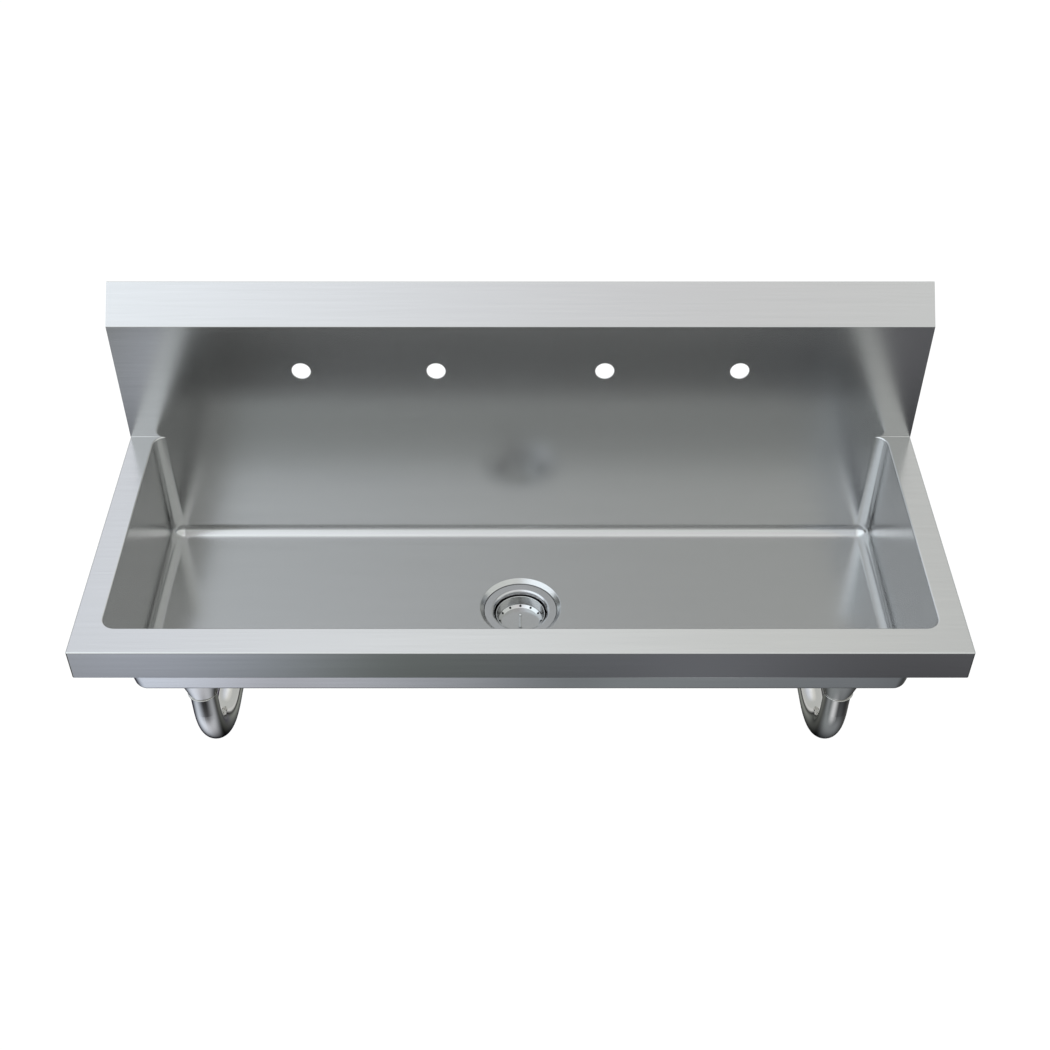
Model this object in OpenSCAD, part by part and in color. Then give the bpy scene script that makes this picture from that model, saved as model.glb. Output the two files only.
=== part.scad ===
// Wall-hung stainless steel trough sink with two faucet stations, a basket strainer and two
// tubular wall brackets. X runs along the wall, +Y points into the wall and +Z is up.
// The origin lies on the wall, at the middle of the hanger rail.

/* [Trough] */
// Overall width along the wall
sink_w = 1219.2; // [1000:0.1:1500]
// Overall depth from the wall to the front apron
sink_d = 508; // [460:0.1:600]
// Depth of the bowl below the rim
bowl_depth = 203.2; // [150:0.1:260]
// Thickness of the bowl, rim and splash sheet
sheet = 1.2; // [1:0.05:1.6]
// Width of the rim at each end of the bowl
side_rim = 38.1; // [30:0.1:80]
// Width of the rim in front of the bowl
front_rim = 46.6; // [36:0.1:90]
// Height of the apron
apron_h = 50.8; // [35:0.1:70]
// Depth of the hem folded in under the apron
hem_d = 12.7; // [8:0.1:25]
// Radius of the coves inside the bowl
cove_r = 19.05; // [12:0.05:26]
// Lean of the bowl's front wall from the vertical, in degrees
front_lean = 17.96; // [2:0.01:24]
// Outer radius of the rolled edge round the bowl
lip_r = 2.5; // [2:0.1:4]
// Outer radius of the folded sheet edges
bend_r = 2; // [1.8:0.1:4]

/* [Splash] */
// Height of the splash above the rim
splash_h = 254; // [220:0.1:320]
// Height of the sloping top above the upright part of the splash
splash_rise = 47; // [36:0.1:60]
// Distance from the wall to the splash face
splash_gap = 50.8; // [40:0.1:70]
// Depth of the hanger flange behind the splash
hanger_drop = 25.4; // [15:0.1:35]
// Radius of the small fillet between rim and splash
foot_r = 4.8; // [3:0.1:8]

/* [Faucet holes] */
// Height of the faucet holes above the rim
faucet_h = 127; // [80:0.1:160]
// Radius of a faucet hole
faucet_hole_r = 14.3; // [10:0.1:18]
// Distance between the two holes of a station
faucet_pitch = 203.2; // [100:0.1:210]
// Distance between the middles of the two stations
station_pitch = 457.2; // [420:0.1:600]

/* [Hanger rail] */
// Distance from each end of the sink to the end of the rail
rail_inset = 50.8; // [20:0.1:80]
// Thickness of the rail
rail_t = 1.9; // [1.5:0.1:3]
// Height of the part of the rail that lies on the wall
rail_plate_h = 38.1; // [25:0.1:45]
// Gap between the hanger flange and the part of the rail that lies on the wall
rail_gap = 4.35; // [2.5:0.05:8]
// Radius of a screw hole in the rail
rail_hole_r = 3.6; // [2.5:0.1:5]
// Distance between the inner two screw holes
rail_pitch_in = 406.4; // [300:0.1:500]
// Distance from each end of the rail to its outer screw hole
rail_hole_inset = 50.8; // [20:0.1:90]

/* [Drain] */
// Distance from the splash face to the middle of the drain
drain_back = 172.7; // [140:0.1:220]
// Depth of the pressed seat round the drain
seat_depth = 9.5; // [7.5:0.1:12]
// Radius of the flat bottom of the pressed seat
seat_r = 57.5; // [57.3:0.1:62]
// Height of the upright wall that the strainer's flange lies in
seat_wall_h = 3.2; // [2.8:0.1:4]
// Radial width of the cone between that wall and the floor
seat_edge = 6; // [4:0.1:9]
// Radius of the hole in the bowl
drain_hole_r = 44.5; // [44:0.1:46]
// Radius of the strainer's flange
flange_r = 57.1; // [52:0.1:57.2]
// Thickness of the strainer's flange
flange_t = 1.5; // [1.2:0.1:2]
// Thickness of the seal under the flange
seal_t = 1; // [0.6:0.1:2]
// Outer radius of the strainer cup
cup_r = 42.5; // [41:0.1:43]
// Wall of the strainer cup
cup_wall = 1.5; // [1.2:0.1:2]
// Radial width of the rounded throat at the top of the cup
throat_w = 5; // [4:0.1:5.4]
// Depth of the rounded throat
throat_h = 7; // [5.5:0.1:8]
// Depth of the cup from flange to floor
cup_depth = 46; // [40:0.1:60]
// Height of the cone below the cup
cup_cone_h = 9; // [6:0.1:14]
// Radius of the threaded outlet
spud_r = 23.5; // [22:0.1:26]
// Length of the threaded outlet
spud_h = 13; // [12:0.1:20]
// Radius of the passage through the outlet
outlet_r = 18; // [15:0.1:18.5]
// Thickness of the rubber washer under the bowl
rubber_t = 3; // [2:0.1:5]
// Thickness of the friction washer
friction_t = 0.8; // [0.5:0.1:1.5]
// Height of the locknut
locknut_h = 10; // [7:0.1:14]
// Radius of the locknut over its lugs
locknut_r = 52; // [48:0.1:58]
// Number of lugs round the locknut
locknut_lugs = 8; // [4:1:12]
// Outer radius of the tailpiece
tail_r = 19.05; // [17:0.05:20]
// Wall of the tailpiece
tail_wall = 1.2; // [0.8:0.1:2]
// Length of the tailpiece
tail_h = 64; // [40:0.1:70]
// Radius of the coupling nut across its flats
coupling_r = 29; // [27:0.1:34]
// Height of the coupling nut
coupling_h = 16; // [14:0.1:20]

/* [Basket] */
// Radius of the basket at its rim
basket_r = 38.8; // [37.5:0.1:39.4]
// Depth of the basket's rim below the strainer flange
basket_drop = 8; // [6:0.1:11]
// Depth of the basket
basket_depth = 19; // [15:0.1:24]
// Wall of the basket
basket_wall = 0.8; // [0.6:0.1:1.2]
// Radius of the circle of drain holes
hole_ring_r = 32.8; // [28:0.1:33.4]
// Radial width of the sloping band that holds the drain holes
bevel_w = 4.2; // [4:0.1:6]
// Height of the sloping band
bevel_h = 5; // [3:0.1:7]
// Radius of a drain hole
basket_hole_r = 1.7; // [1:0.1:1.9]
// Number of drain holes
basket_holes = 12; // [6:1:18]
// Height of the post above the basket floor
post_h = 17.5; // [12:0.1:24]
// Radius of the post
post_r = 1.6; // [1.5:0.1:2.5]
// Radius of the ball on the post
post_ball_r = 2.8; // [2.6:0.1:4]
// Radius of the rubber stopper
stopper_r = 24; // [20:0.1:28]
// Thickness of the rubber stopper
stopper_t = 4; // [3:0.1:6]

/* [Brackets] */
// Distance of each bracket from the end of the sink
bracket_inset = 120.6; // [110:0.1:180]
// Distance of the bracket's upright leg from the front apron
bracket_front = 165; // [160:0.1:230]
// Outer radius of the bracket tube
tube_r = 20.65; // [17:0.05:24]
// Wall of the bracket tube
tube_wall = 1.65; // [1.2:0.05:3]
// Bend radius along the middle of the tube
tube_bend_r = 125; // [90:0.1:150]
// Height of the tube's upright leg below the bowl
leg_h = 100; // [85:0.1:140]
// Height of the gusset
gusset_h = 58.5; // [50:0.1:80]
// Radius of the gusset at the bowl
gusset_r = 38; // [32:0.1:44]
// Wall of the gusset
gusset_wall = 1.6; // [1.2:0.1:2.5]
// Width of the stiffening plate between bowl and gusset
plate_w = 101.6; // [92:0.1:130]
// Thickness of the stiffening plate
plate_t = 3; // [2:0.1:5]
// Radius of the wall flange
wall_flange_r = 50.8; // [46:0.1:60]
// Thickness of the wall flange
wall_flange_t = 5; // [4:0.1:8]
// Length of the wall flange's collar
collar_h = 28; // [20:0.1:40]
// Wall of the collar
collar_wall = 3; // [2.5:0.1:5]
// Diameter of the screw circle of the wall flange
flange_pcd = 76.2; // [70:0.1:84]
// Radius of a screw hole in the wall flange
flange_hole_r = 3.4; // [2.5:0.1:4]
// Radius of a set screw
set_screw_r = 3; // [2:0.1:4]
// Gap between the bracket tube and what holds it
tube_fit = 0.05; // [0.02:0.01:0.1]

/* [Hidden] */
$fn = 96;

STEEL = [0.76, 0.77, 0.78];
TUBE_STEEL = [0.68, 0.69, 0.72];
BRASS = [0.72, 0.7, 0.62];
RUBBER = [0.12, 0.12, 0.12];
CARD = [0.7, 0.62, 0.48];
FAR = 4000;          // longer than the sink
CUT = 20;            // depth of a cut through sheet
OVER = 1;            // how far a cut runs past the face it opens
NUT_FIT = 0.05;      // gap between a nut and the thread it turns on
GUIDE_FIT = 0.1;     // gap between a washer and what passes through it
SEAT_FIT = 0.05;     // gap between the stopper and its seat

// Levels and lines of the trough
rim_z = bend_r + hanger_drop + rail_gap + rail_plate_h / 2 - splash_h;
front_y = -sink_d;
splash_y = -splash_gap;
end_x = sink_w / 2;
floor_z = rim_z - bowl_depth;
lip_z = rim_z - lip_r;
bowl_x = end_x - side_rim;
wall_y = front_y + front_rim;
// Axes of the coves
core_x = bowl_x - cove_r;
core_z = floor_z + cove_r;
back_y = splash_y - cove_r;
core_y = wall_y + cove_r / cos(front_lean) + (lip_z - core_z) * tan(front_lean);
corner_y = wall_y + cove_r;
// The rolled edge runs this far round the back corners, and the splash closes the rest
ear_angle = 75;
// Axes of the splash's two folds
fold_y = splash_y + bend_r;
fold_z = rim_z + splash_h - splash_rise;
top_y = -bend_r;
top_z = rim_z + splash_h - bend_r;
slope = atan2(top_z - fold_z, top_y - fold_y);
slope_len = norm([top_y - fold_y, top_z - fold_z]);
slope_gap = 0.6;
hanger_z = top_z - hanger_drop;
hook_gap = 0.3;
rail_w = sink_w - 2 * rail_inset;
// Levels of the drain
drain_y = splash_y - drain_back;
seat_z = floor_z - seat_depth;
under_seat_z = seat_z - sheet;
flange_z = seat_z + seal_t + flange_t;
cup_z = flange_z - cup_depth;
cone_z = cup_z - cup_cone_h;
spud_z = cone_z - spud_h;
locknut_z = under_seat_z - rubber_t - friction_t - locknut_h;
lug_w = 8;
lug_reach = 4;
washer_inset = 1;
tail_washer_t = 2;
tail_flange_t = 1.5;
tail_flange_r = spud_r - 1;
tail_z = spud_z - tail_washer_t;
tail_neck_h = 2.5;
tail_neck_t = 0.05;
coupling_lip_t = 2;
coupling_z = tail_z - tail_flange_t - coupling_lip_t;
coupling_corner = 2.5;
// Levels of the basket
basket_z = flange_z - basket_drop;
basket_floor_z = basket_z - basket_depth;
stopper_taper = 1.5;
// The cup floor slopes from its edge down to the outlet, and the stopper seats on the slope
corner_w = 3;
corner_h = 4;
floor_edge_r = cup_r - cup_wall - corner_w;
floor_low_r = outlet_r + 2;
floor_drop = cup_cone_h / 2;
seat_slope = floor_drop / (floor_edge_r - floor_low_r);
stopper_low_r = stopper_r - stopper_taper;
stopper_z = cup_z + cup_wall - (floor_edge_r - stopper_low_r) * seat_slope + SEAT_FIT;
stopper_washer_t = 1.2;
post_foot_t = 1.5;
spider_t = 2;
spider_w = 2;
spider_hub_w = 2;
post_tip_z = cone_z - 1.5 * spider_t;
// Levels and lines of the brackets
under_bowl_z = floor_z - sheet;
plate_z = under_bowl_z - plate_t;
leg_y = front_y + bracket_front;
bracket_x = end_x - bracket_inset;
elbow_z = under_bowl_z - leg_h;
arm_z = elbow_z - tube_bend_r;
arm_y = leg_y + tube_bend_r;
socket_r = tube_r + tube_fit;
gusset_low_r = socket_r + gusset_wall;
gusset_bead = 1;
gusset_ring_h = 5;
gusset_grip_h = 19;
gusset_screw_z = plate_z - gusset_h + (gusset_ring_h + gusset_grip_h) / 2;
gusset_screw_l = 4.5;
flange_screw_y = -wall_flange_t - collar_h / 2;
flange_screw_l = 6;
screw_socket_h = 2.5;

// ---- helpers ----

module both_ends() for (side = [0, 1]) mirror([side, 0, 0]) children();

module along_x(len) rotate([90, 0, 90]) linear_extrude(len, center = true) children();

module along_y(len) rotate([90, 0, 0]) mirror([0, 0, 1]) linear_extrude(len) children();

// A ring of sheet between two angles, in a plane
module arc(r, from, to) intersection() {
    difference() {
        circle(r);
        circle(r - sheet);
    }
    mid = (from + to) / 2;
    polygon([[0, 0], for (a = [from, mid, to]) 3 * r * [cos(a), sin(a)]]);
}

module at_drain(z) translate([0, drain_y, z]) children();

module tube(r, wall, h) difference() {
    cylinder(h = h, r = r);
    translate([0, 0, -OVER]) cylinder(h = h + 2 * OVER, r = r - wall);
}

// ---- trough ----

// Section of the sheet from cove to cove, with the coves' axes at v = 0
module cove_section() {
    translate([-core_x, -cove_r - sheet]) square([2 * core_x, sheet]);
    for (side = [0, 1]) mirror([side, 0]) translate([core_x, 0]) arc(cove_r + sheet, -90, 0);
}

// Section of the pressed seat from the level low to the level top, let out by t
module seat_section(t, low, top) {
    lean = atan2(seat_edge, seat_depth - seat_wall_h);
    edge_r = seat_r + seat_edge + t / cos(lean);
    polygon([
        [0, low], [seat_r + t, low], [seat_r + t, seat_z + seat_wall_h - t * tan(lean / 2)],
        [edge_r + (top - floor_z) * tan(lean), top], [0, top]
    ]);
}

// Floor with the side walls and the pressed drain seat
module bowl_floor() difference() {
    union() {
        translate([0, core_y, core_z]) along_y(back_y - core_y) {
            cove_section();
            for (side = [0, 1]) mirror([side, 0])
                translate([bowl_x, 0]) square([sheet, lip_z - core_z]);
        }
        at_drain(0) rotate_extrude() seat_section(sheet, under_seat_z, floor_z - sheet / 2);
    }
    at_drain(0) rotate_extrude() seat_section(0, seat_z, floor_z + OVER);
    at_drain(under_seat_z - OVER) cylinder(h = sheet + 2 * OVER, r = drain_hole_r);
}

// Right half of the section, running a little past the middle, with the cove's axis at the origin
module half_section() {
    translate([-core_x - OVER, -cove_r - sheet]) square([core_x + OVER, sheet]);
    arc(cove_r + sheet, -90, 0);
}

// Leaning wall with its corners, the coves below it and the wedges of side wall behind it
module bowl_front() difference() {
    wedge_w = (lip_z - core_z) * sin(front_lean) + OVER;
    len = (lip_z - core_z + (cove_r + sheet) * sin(front_lean)) / cos(front_lean) + OVER;
    both_ends() translate([core_x, core_y, core_z]) rotate([front_lean, 0, 0]) {
        linear_extrude(len) {
            half_section();
            translate([cove_r, 0]) square([sheet, wedge_w]);
        }
        rotate([0, 90, 0]) rotate_extrude(angle = 90, start = -90) rotate(90) half_section();
    }
    translate([-FAR / 2, core_y, core_z - 2 * CUT]) cube(FAR);
    translate([-FAR / 2, -FAR / 2, lip_z]) cube(FAR);
}

// Upright wall, which runs on into the splash
module bowl_back() difference() {
    translate([0, back_y, core_z]) linear_extrude(rim_z - core_z) mirror([0, 1]) cove_section();
    both_ends() translate([core_x, back_y, lip_z])
        rotate_extrude(angle = ear_angle) translate([cove_r / 2, 0]) square([cove_r, CUT]);
}

// Cove along the floor at the back, with its two spherical corners
module back_cove() translate([0, back_y, core_z]) rotate([0, 90, 0])
    rotate_extrude(angle = 90) rotate(90) cove_section();

module bowl() color(STEEL) {
    bowl_floor();
    bowl_front();
    bowl_back();
    back_cove();
}

// Section of the apron: u = 0 on its outer face and v = 0 on the rim
module apron_profile() {
    low = bend_r - apron_h;
    translate([bend_r, -bend_r]) arc(bend_r, 90, 180);
    translate([0, low]) square([sheet, -bend_r - low]);
    translate([bend_r, low]) arc(bend_r, 180, 270);
    translate([bend_r, -apron_h]) square([hem_d - bend_r, sheet]);
}

// Section of the rolled edge, with the wall of the bowl at u = 0
module lip_profile() translate([lip_r, -lip_r]) arc(lip_r, 90, 180);

module front_apron() intersection() {
    translate([0, front_y, rim_z]) along_x(sink_w) apron_profile();
    linear_extrude(FAR, center = true) polygon([
        [-end_x, front_y], [end_x, front_y],
        [end_x - hem_d, front_y + hem_d], [hem_d - end_x, front_y + hem_d]
    ]);
}

module end_apron() intersection() {
    translate([end_x, front_y, rim_z]) mirror([1, 0, 0]) along_y(splash_y - front_y) apron_profile();
    linear_extrude(FAR, center = true) polygon([
        [end_x, front_y], [end_x, splash_y],
        [end_x - hem_d, splash_y], [end_x - hem_d, front_y + hem_d]
    ]);
}

module rim_plates() {
    in_x = bowl_x + lip_r;
    out_x = end_x - bend_r;
    round_r = cove_r + lip_r;
    translate([-core_x, front_y + bend_r]) square([2 * core_x, front_rim - lip_r - bend_r]);
    both_ends() {
        translate([in_x, corner_y]) square([out_x - in_x, back_y - corner_y]);
        difference() {
            translate([core_x, front_y + bend_r])
                square([out_x - core_x, corner_y - front_y - bend_r]);
            translate([core_x, corner_y]) circle(round_r);
        }
        difference() {
            translate([core_x, back_y]) square([out_x - core_x, cove_r]);
            translate([core_x, back_y]) circle(round_r);
        }
    }
}

module rim_lip() {
    translate([0, wall_y, rim_z]) mirror([0, 1, 0]) along_x(2 * core_x) lip_profile();
    both_ends() {
        translate([bowl_x, corner_y, rim_z]) along_y(back_y - corner_y) lip_profile();
        translate([core_x, corner_y, rim_z]) rotate([0, 0, -90])
            rotate_extrude(angle = 90) translate([cove_r, 0]) lip_profile();
        difference() {
            translate([core_x, back_y, rim_z])
                rotate_extrude(angle = ear_angle) translate([cove_r, 0]) lip_profile();
            translate([-FAR / 2, splash_y, rim_z - CUT]) cube([FAR, CUT, 2 * CUT]);
        }
    }
}

module rim_deck() color(STEEL) {
    translate([0, 0, rim_z - sheet]) linear_extrude(sheet) rim_plates();
    rim_lip();
    front_apron();
    both_ends() end_apron();
}

// ---- splash ----

module splash_profile() {
    translate([splash_y, rim_z]) square([sheet, fold_z - rim_z]);
    translate([fold_y, fold_z]) {
        arc(bend_r, 90 + slope, 180);
        rotate(slope) translate([0, bend_r - sheet]) square([slope_len, sheet]);
    }
    translate([top_y, top_z]) arc(bend_r, 0, 90 + slope);
    translate([-sheet, hanger_z]) square([sheet, hanger_drop]);
}

// The fillet stops short of its feather edges
module foot_profile() difference() {
    kept = 0.8;
    square(kept * foot_r);
    translate([foot_r, foot_r]) circle(foot_r);
}

module splash_foot() difference() {
    translate([core_x, splash_y, rim_z]) rotate([90, 0, 90]) mirror([1, 0, 0])
        linear_extrude(end_x - core_x) foot_profile();
    translate([core_x, back_y, rim_z - OVER]) cylinder(h = CUT, r = cove_r + lip_r);
}

module backsplash() color(STEEL) difference() {
    union() {
        along_x(sink_w) splash_profile();
        both_ends() {
            splash_foot();
            translate([bowl_x + sheet, splash_y, rim_z - apron_h])
                cube([side_rim - sheet, sheet, apron_h]);
        }
    }
    for (station = [-1, 1], hole = [-1, 1])
        translate([(station * station_pitch + hole * faucet_pitch) / 2, splash_y, rim_z + faucet_h])
            rotate([90, 0, 0]) cylinder(h = CUT, r = faucet_hole_r, center = true);
}

// Plate that closes the end of the splash behind its face
module splash_end(side) color(STEEL) {
    inside = (bend_r - sheet) * [-sin(slope), cos(slope)];
    low_z = rim_z - apron_h;
    translate([side > 0 ? end_x - sheet : -end_x, 0, 0]) rotate([90, 0, 90]) linear_extrude(sheet)
        polygon([
            [splash_y + sheet, low_z], [splash_y + sheet, fold_z - slope_gap],
            [fold_y + slope_gap, fold_z] + inside, [top_y, top_z - slope_gap] + inside,
            [-sheet, top_z - slope_gap], [-sheet, hanger_z], [0, hanger_z], [0, low_z]
        ]);
}

// ---- hanger rail ----

module rail_profile() {
    plate_top = rail_plate_h / 2;
    hook_y = -sheet - rail_t;
    hook_top = fold_z + (hook_y - fold_y) * tan(slope) + (bend_r - sheet) / cos(slope) - hook_gap;
    translate([-rail_t, -plate_top]) square([rail_t, rail_plate_h]);
    // The hook stands forward of the plate to let the hanger flange in behind it
    polygon([
        [-rail_t, plate_top - 2 * rail_t], [-rail_t, plate_top], [-sheet, plate_top + sheet],
        [-sheet, hook_top], [hook_y, hook_top], [hook_y, plate_top - rail_t]
    ]);
}

module wall_rail() color(STEEL) difference() {
    along_x(rail_w) rail_profile();
    for (x = [rail_pitch_in / 2, rail_w / 2 - rail_hole_inset]) both_ends()
        translate([x, 0, 0]) rotate([90, 0, 0]) cylinder(h = CUT, r = rail_hole_r, center = true);
}

// ---- strainer ----

// Quarter of an ellipse, w wide and h high, that leads from the flange at z down to the radius r
function throat(r, z, w, h) = [for (a = [0:15:90]) [r + w * (1 - sin(a)), z - h * (1 - cos(a))]];

module strainer_profile() {
    in_r = cup_r - cup_wall;
    under_z = flange_z - flange_t;
    edge = 0.7;
    outer = throat(cup_r, under_z, throat_w - cup_wall, throat_h - flange_t);
    polygon(concat(
        throat(in_r, flange_z, throat_w, throat_h),
        [
            [in_r, cup_z + corner_h], [floor_edge_r, cup_z + cup_wall],
            [floor_low_r, cup_z + cup_wall - floor_drop], [outlet_r, cone_z + spider_t],
            [outlet_r, spud_z], [spud_r, spud_z], [spud_r, cone_z], [cup_r, cup_z]
        ],
        [for (i = [len(outer) - 1:-1:0]) outer[i]],
        [[flange_r, under_z], [flange_r, flange_z - edge], [flange_r - edge, flange_z]]
    ));
}

module strainer_body() color(STEEL) {
    at_drain(0) rotate_extrude() strainer_profile();
    // Spider across the outlet, with a hub that guides the post
    at_drain(cone_z) difference() {
        union() {
            for (a = [0, 60, 120]) rotate(a)
                translate([-outlet_r - OVER, -spider_w / 2, 0])
                    cube([2 * (outlet_r + OVER), spider_w, spider_t]);
            cylinder(h = spider_t, r = post_r + spider_hub_w);
        }
        translate([0, 0, -OVER]) cylinder(h = spider_t + 2 * OVER, r = post_r + GUIDE_FIT);
    }
}

module washer(r, hole_r, h) tube(r, r - hole_r, h);

module flange_seal() color(RUBBER) at_drain(seat_z)
    washer(flange_r - washer_inset, cup_r - cup_wall + throat_w + GUIDE_FIT, seal_t);

module rubber_washer() color(RUBBER) at_drain(under_seat_z - rubber_t)
    washer(locknut_r - washer_inset, drain_hole_r, rubber_t);

module friction_washer() color(CARD) at_drain(under_seat_z - rubber_t - friction_t)
    washer(locknut_r - washer_inset, cup_r + GUIDE_FIT, friction_t);

module locknut() color(BRASS) at_drain(locknut_z) difference() {
    union() {
        cylinder(h = locknut_h, r = locknut_r - lug_reach);
        for (i = [0:locknut_lugs - 1]) rotate(i * 360 / locknut_lugs)
            translate([locknut_r - 2 * lug_reach, -lug_w / 2, 0])
                cube([2 * lug_reach, lug_w, locknut_h]);
    }
    translate([0, 0, -OVER]) cylinder(h = locknut_h + 2 * OVER, r = cup_r + NUT_FIT);
}

module tailpiece_washer() color(RUBBER) at_drain(tail_z)
    washer(tail_flange_r, outlet_r, tail_washer_t);

// The neck under the flange is a little thicker than the free end
module tailpiece() color(STEEL) at_drain(tail_z) rotate_extrude() polygon([
    [tail_r - tail_wall, 0], [tail_flange_r, 0], [tail_flange_r, -tail_flange_t],
    [tail_r + tail_neck_t, -tail_flange_t], [tail_r, -tail_flange_t - tail_neck_h],
    [tail_r, -tail_h], [tail_r - tail_wall, -tail_h]
]);

module coupling_nut() color(BRASS) at_drain(coupling_z) difference() {
    intersection() {
        cylinder(h = coupling_h, r = coupling_r / cos(30), $fn = 6);
        cylinder(h = coupling_h, r = coupling_r + coupling_corner);
    }
    translate([0, 0, coupling_lip_t]) cylinder(h = coupling_h, r = spud_r + NUT_FIT);
    translate([0, 0, -OVER]) cylinder(h = coupling_h, r = tail_r + GUIDE_FIT);
}

// ---- basket ----

module basket_profile() {
    low = basket_floor_z;
    w = basket_wall;
    flat_r = hole_ring_r - bevel_w / 2;
    side_r = hole_ring_r + bevel_w / 2;
    bead = 1.4;
    polygon([
        [0, low], [flat_r, low], [side_r, low + bevel_h], [basket_r - w, basket_z - bead],
        [basket_r, basket_z - w], [basket_r, basket_z], [basket_r - 2 * w, basket_z],
        [basket_r - 2 * w, basket_z - bead], [side_r - w, low + bevel_h + w / 2],
        [flat_r - w / 3, low + w], [0, low + w]
    ]);
}

module strainer_basket() color(STEEL) at_drain(0) difference() {
    rotate_extrude() basket_profile();
    for (i = [0:basket_holes - 1]) rotate(90 + i * 360 / basket_holes)
        translate([hole_ring_r, 0, basket_floor_z + bevel_h / 2])
            rotate([0, -atan2(bevel_h, bevel_w), 0])
                cylinder(h = 2 * (basket_wall + OVER), r = basket_hole_r, center = true);
    translate([0, 0, basket_floor_z - OVER]) cylinder(h = basket_wall + 2 * OVER, r = post_r);
}

// Rod with a ball on top, a collar under the basket and a foot under the stopper
module basket_post() color(STEEL) at_drain(0) {
    ball_z = basket_floor_z + post_h - post_ball_r;
    collar_z = stopper_z + stopper_t + stopper_washer_t;
    translate([0, 0, post_tip_z]) cylinder(h = ball_z - post_tip_z, r = post_r);
    translate([0, 0, ball_z]) sphere(post_ball_r);
    translate([0, 0, collar_z]) cylinder(h = basket_floor_z - collar_z, r = 2 * post_r);
    translate([0, 0, stopper_z - post_foot_t]) cylinder(h = post_foot_t, r = 2 * post_r);
}

module basket_stopper() color(RUBBER) at_drain(stopper_z) difference() {
    cylinder(h = stopper_t, r1 = stopper_low_r, r2 = stopper_r);
    translate([0, 0, -OVER]) cylinder(h = stopper_t + 2 * OVER, r = post_r);
}

module stopper_washer() color(STEEL) at_drain(stopper_z + stopper_t)
    washer(stopper_r / 2, post_r, stopper_washer_t);

// ---- brackets ----

module at_bracket(side, z) translate([side * bracket_x, leg_y, z]) children();

module gusset_plate(side) color(STEEL) at_bracket(side, plate_z)
    translate([-plate_w / 2, -gusset_r, 0]) cube([plate_w, plate_w, plate_t]);

module gusset_profile() {
    low = plate_z - gusset_h;
    polygon([
        [gusset_r - gusset_wall, plate_z], [gusset_r, plate_z], [gusset_low_r, low + gusset_ring_h],
        [gusset_low_r + gusset_bead, low + 2 * gusset_bead],
        [gusset_low_r + gusset_bead, low + 0.6 * gusset_bead],
        [gusset_low_r, low], [socket_r, low], [socket_r, low + gusset_grip_h]
    ]);
}

module gusset(side) color(TUBE_STEEL) difference() {
    at_bracket(side, 0) rotate_extrude() gusset_profile();
    at_bracket(side, gusset_screw_z) rotate([-90, 0, 0]) cylinder(h = gusset_r, r = set_screw_r);
}

module bracket_path(r) {
    translate([0, 0, elbow_z]) cylinder(h = plate_z - elbow_z, r = r);
    translate([0, tube_bend_r, elbow_z]) rotate([0, 90, 0]) rotate_extrude(angle = -90)
        translate([tube_bend_r, 0]) circle(r);
    translate([0, tube_bend_r, arm_z]) rotate([-90, 0, 0])
        cylinder(h = -wall_flange_t - arm_y, r = r);
}

module bracket_tube(side) color(TUBE_STEEL) at_bracket(side, 0) difference() {
    bracket_path(tube_r);
    bracket_path(tube_r - tube_wall);
}

module wall_flange(side) color(TUBE_STEEL) translate([side * bracket_x, 0, arm_z]) difference() {
    rotate([90, 0, 0]) union() {
        cylinder(h = wall_flange_t, r = wall_flange_r);
        cylinder(h = wall_flange_t + collar_h, r = socket_r + collar_wall);
    }
    translate([0, -wall_flange_t, 0]) rotate([90, 0, 0]) cylinder(h = collar_h + OVER, r = socket_r);
    for (a = [45:90:315]) rotate([0, a, 0]) translate([flange_pcd / 2, 0, 0])
        rotate([90, 0, 0]) cylinder(h = CUT, r = flange_hole_r, center = true);
    translate([0, flange_screw_y, 0]) rotate([180, 0, 0]) cylinder(h = wall_flange_r, r = set_screw_r);
}

// A socket set screw along +Z, with its tip on the origin
module set_screw(len) difference() {
    cylinder(h = len, r = set_screw_r - NUT_FIT);
    translate([0, 0, len - screw_socket_h])
        cylinder(h = screw_socket_h + OVER, r = set_screw_r / 2, $fn = 6);
}

module gusset_set_screws() color(TUBE_STEEL) for (side = [-1, 1])
    at_bracket(side, gusset_screw_z) translate([0, tube_r, 0]) rotate([-90, 0, 0])
        set_screw(gusset_screw_l);

module flange_set_screws() color(TUBE_STEEL) for (side = [-1, 1])
    translate([side * bracket_x, flange_screw_y, arm_z - tube_r]) rotate([180, 0, 0])
        set_screw(flange_screw_l);

bowl();
rim_deck();
backsplash();
splash_end(-1);  // splash_end_left
splash_end(1);  // splash_end_right
wall_rail();
strainer_body();
flange_seal();
rubber_washer();
friction_washer();
locknut();
tailpiece_washer();
tailpiece();
coupling_nut();
strainer_basket();
basket_post();
basket_stopper();
stopper_washer();
gusset_plate(-1);  // gusset_plate_left
gusset_plate(1);  // gusset_plate_right
gusset(-1);  // gusset_left
gusset(1);  // gusset_right
bracket_tube(-1);  // bracket_tube_left
bracket_tube(1);  // bracket_tube_right
wall_flange(-1);  // wall_flange_left
wall_flange(1);  // wall_flange_right
gusset_set_screws();
flange_set_screws();
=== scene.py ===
import math
from itertools import product

import bmesh
import bpy
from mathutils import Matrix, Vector
from mathutils.geometry import delaunay_2d_cdt


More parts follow.
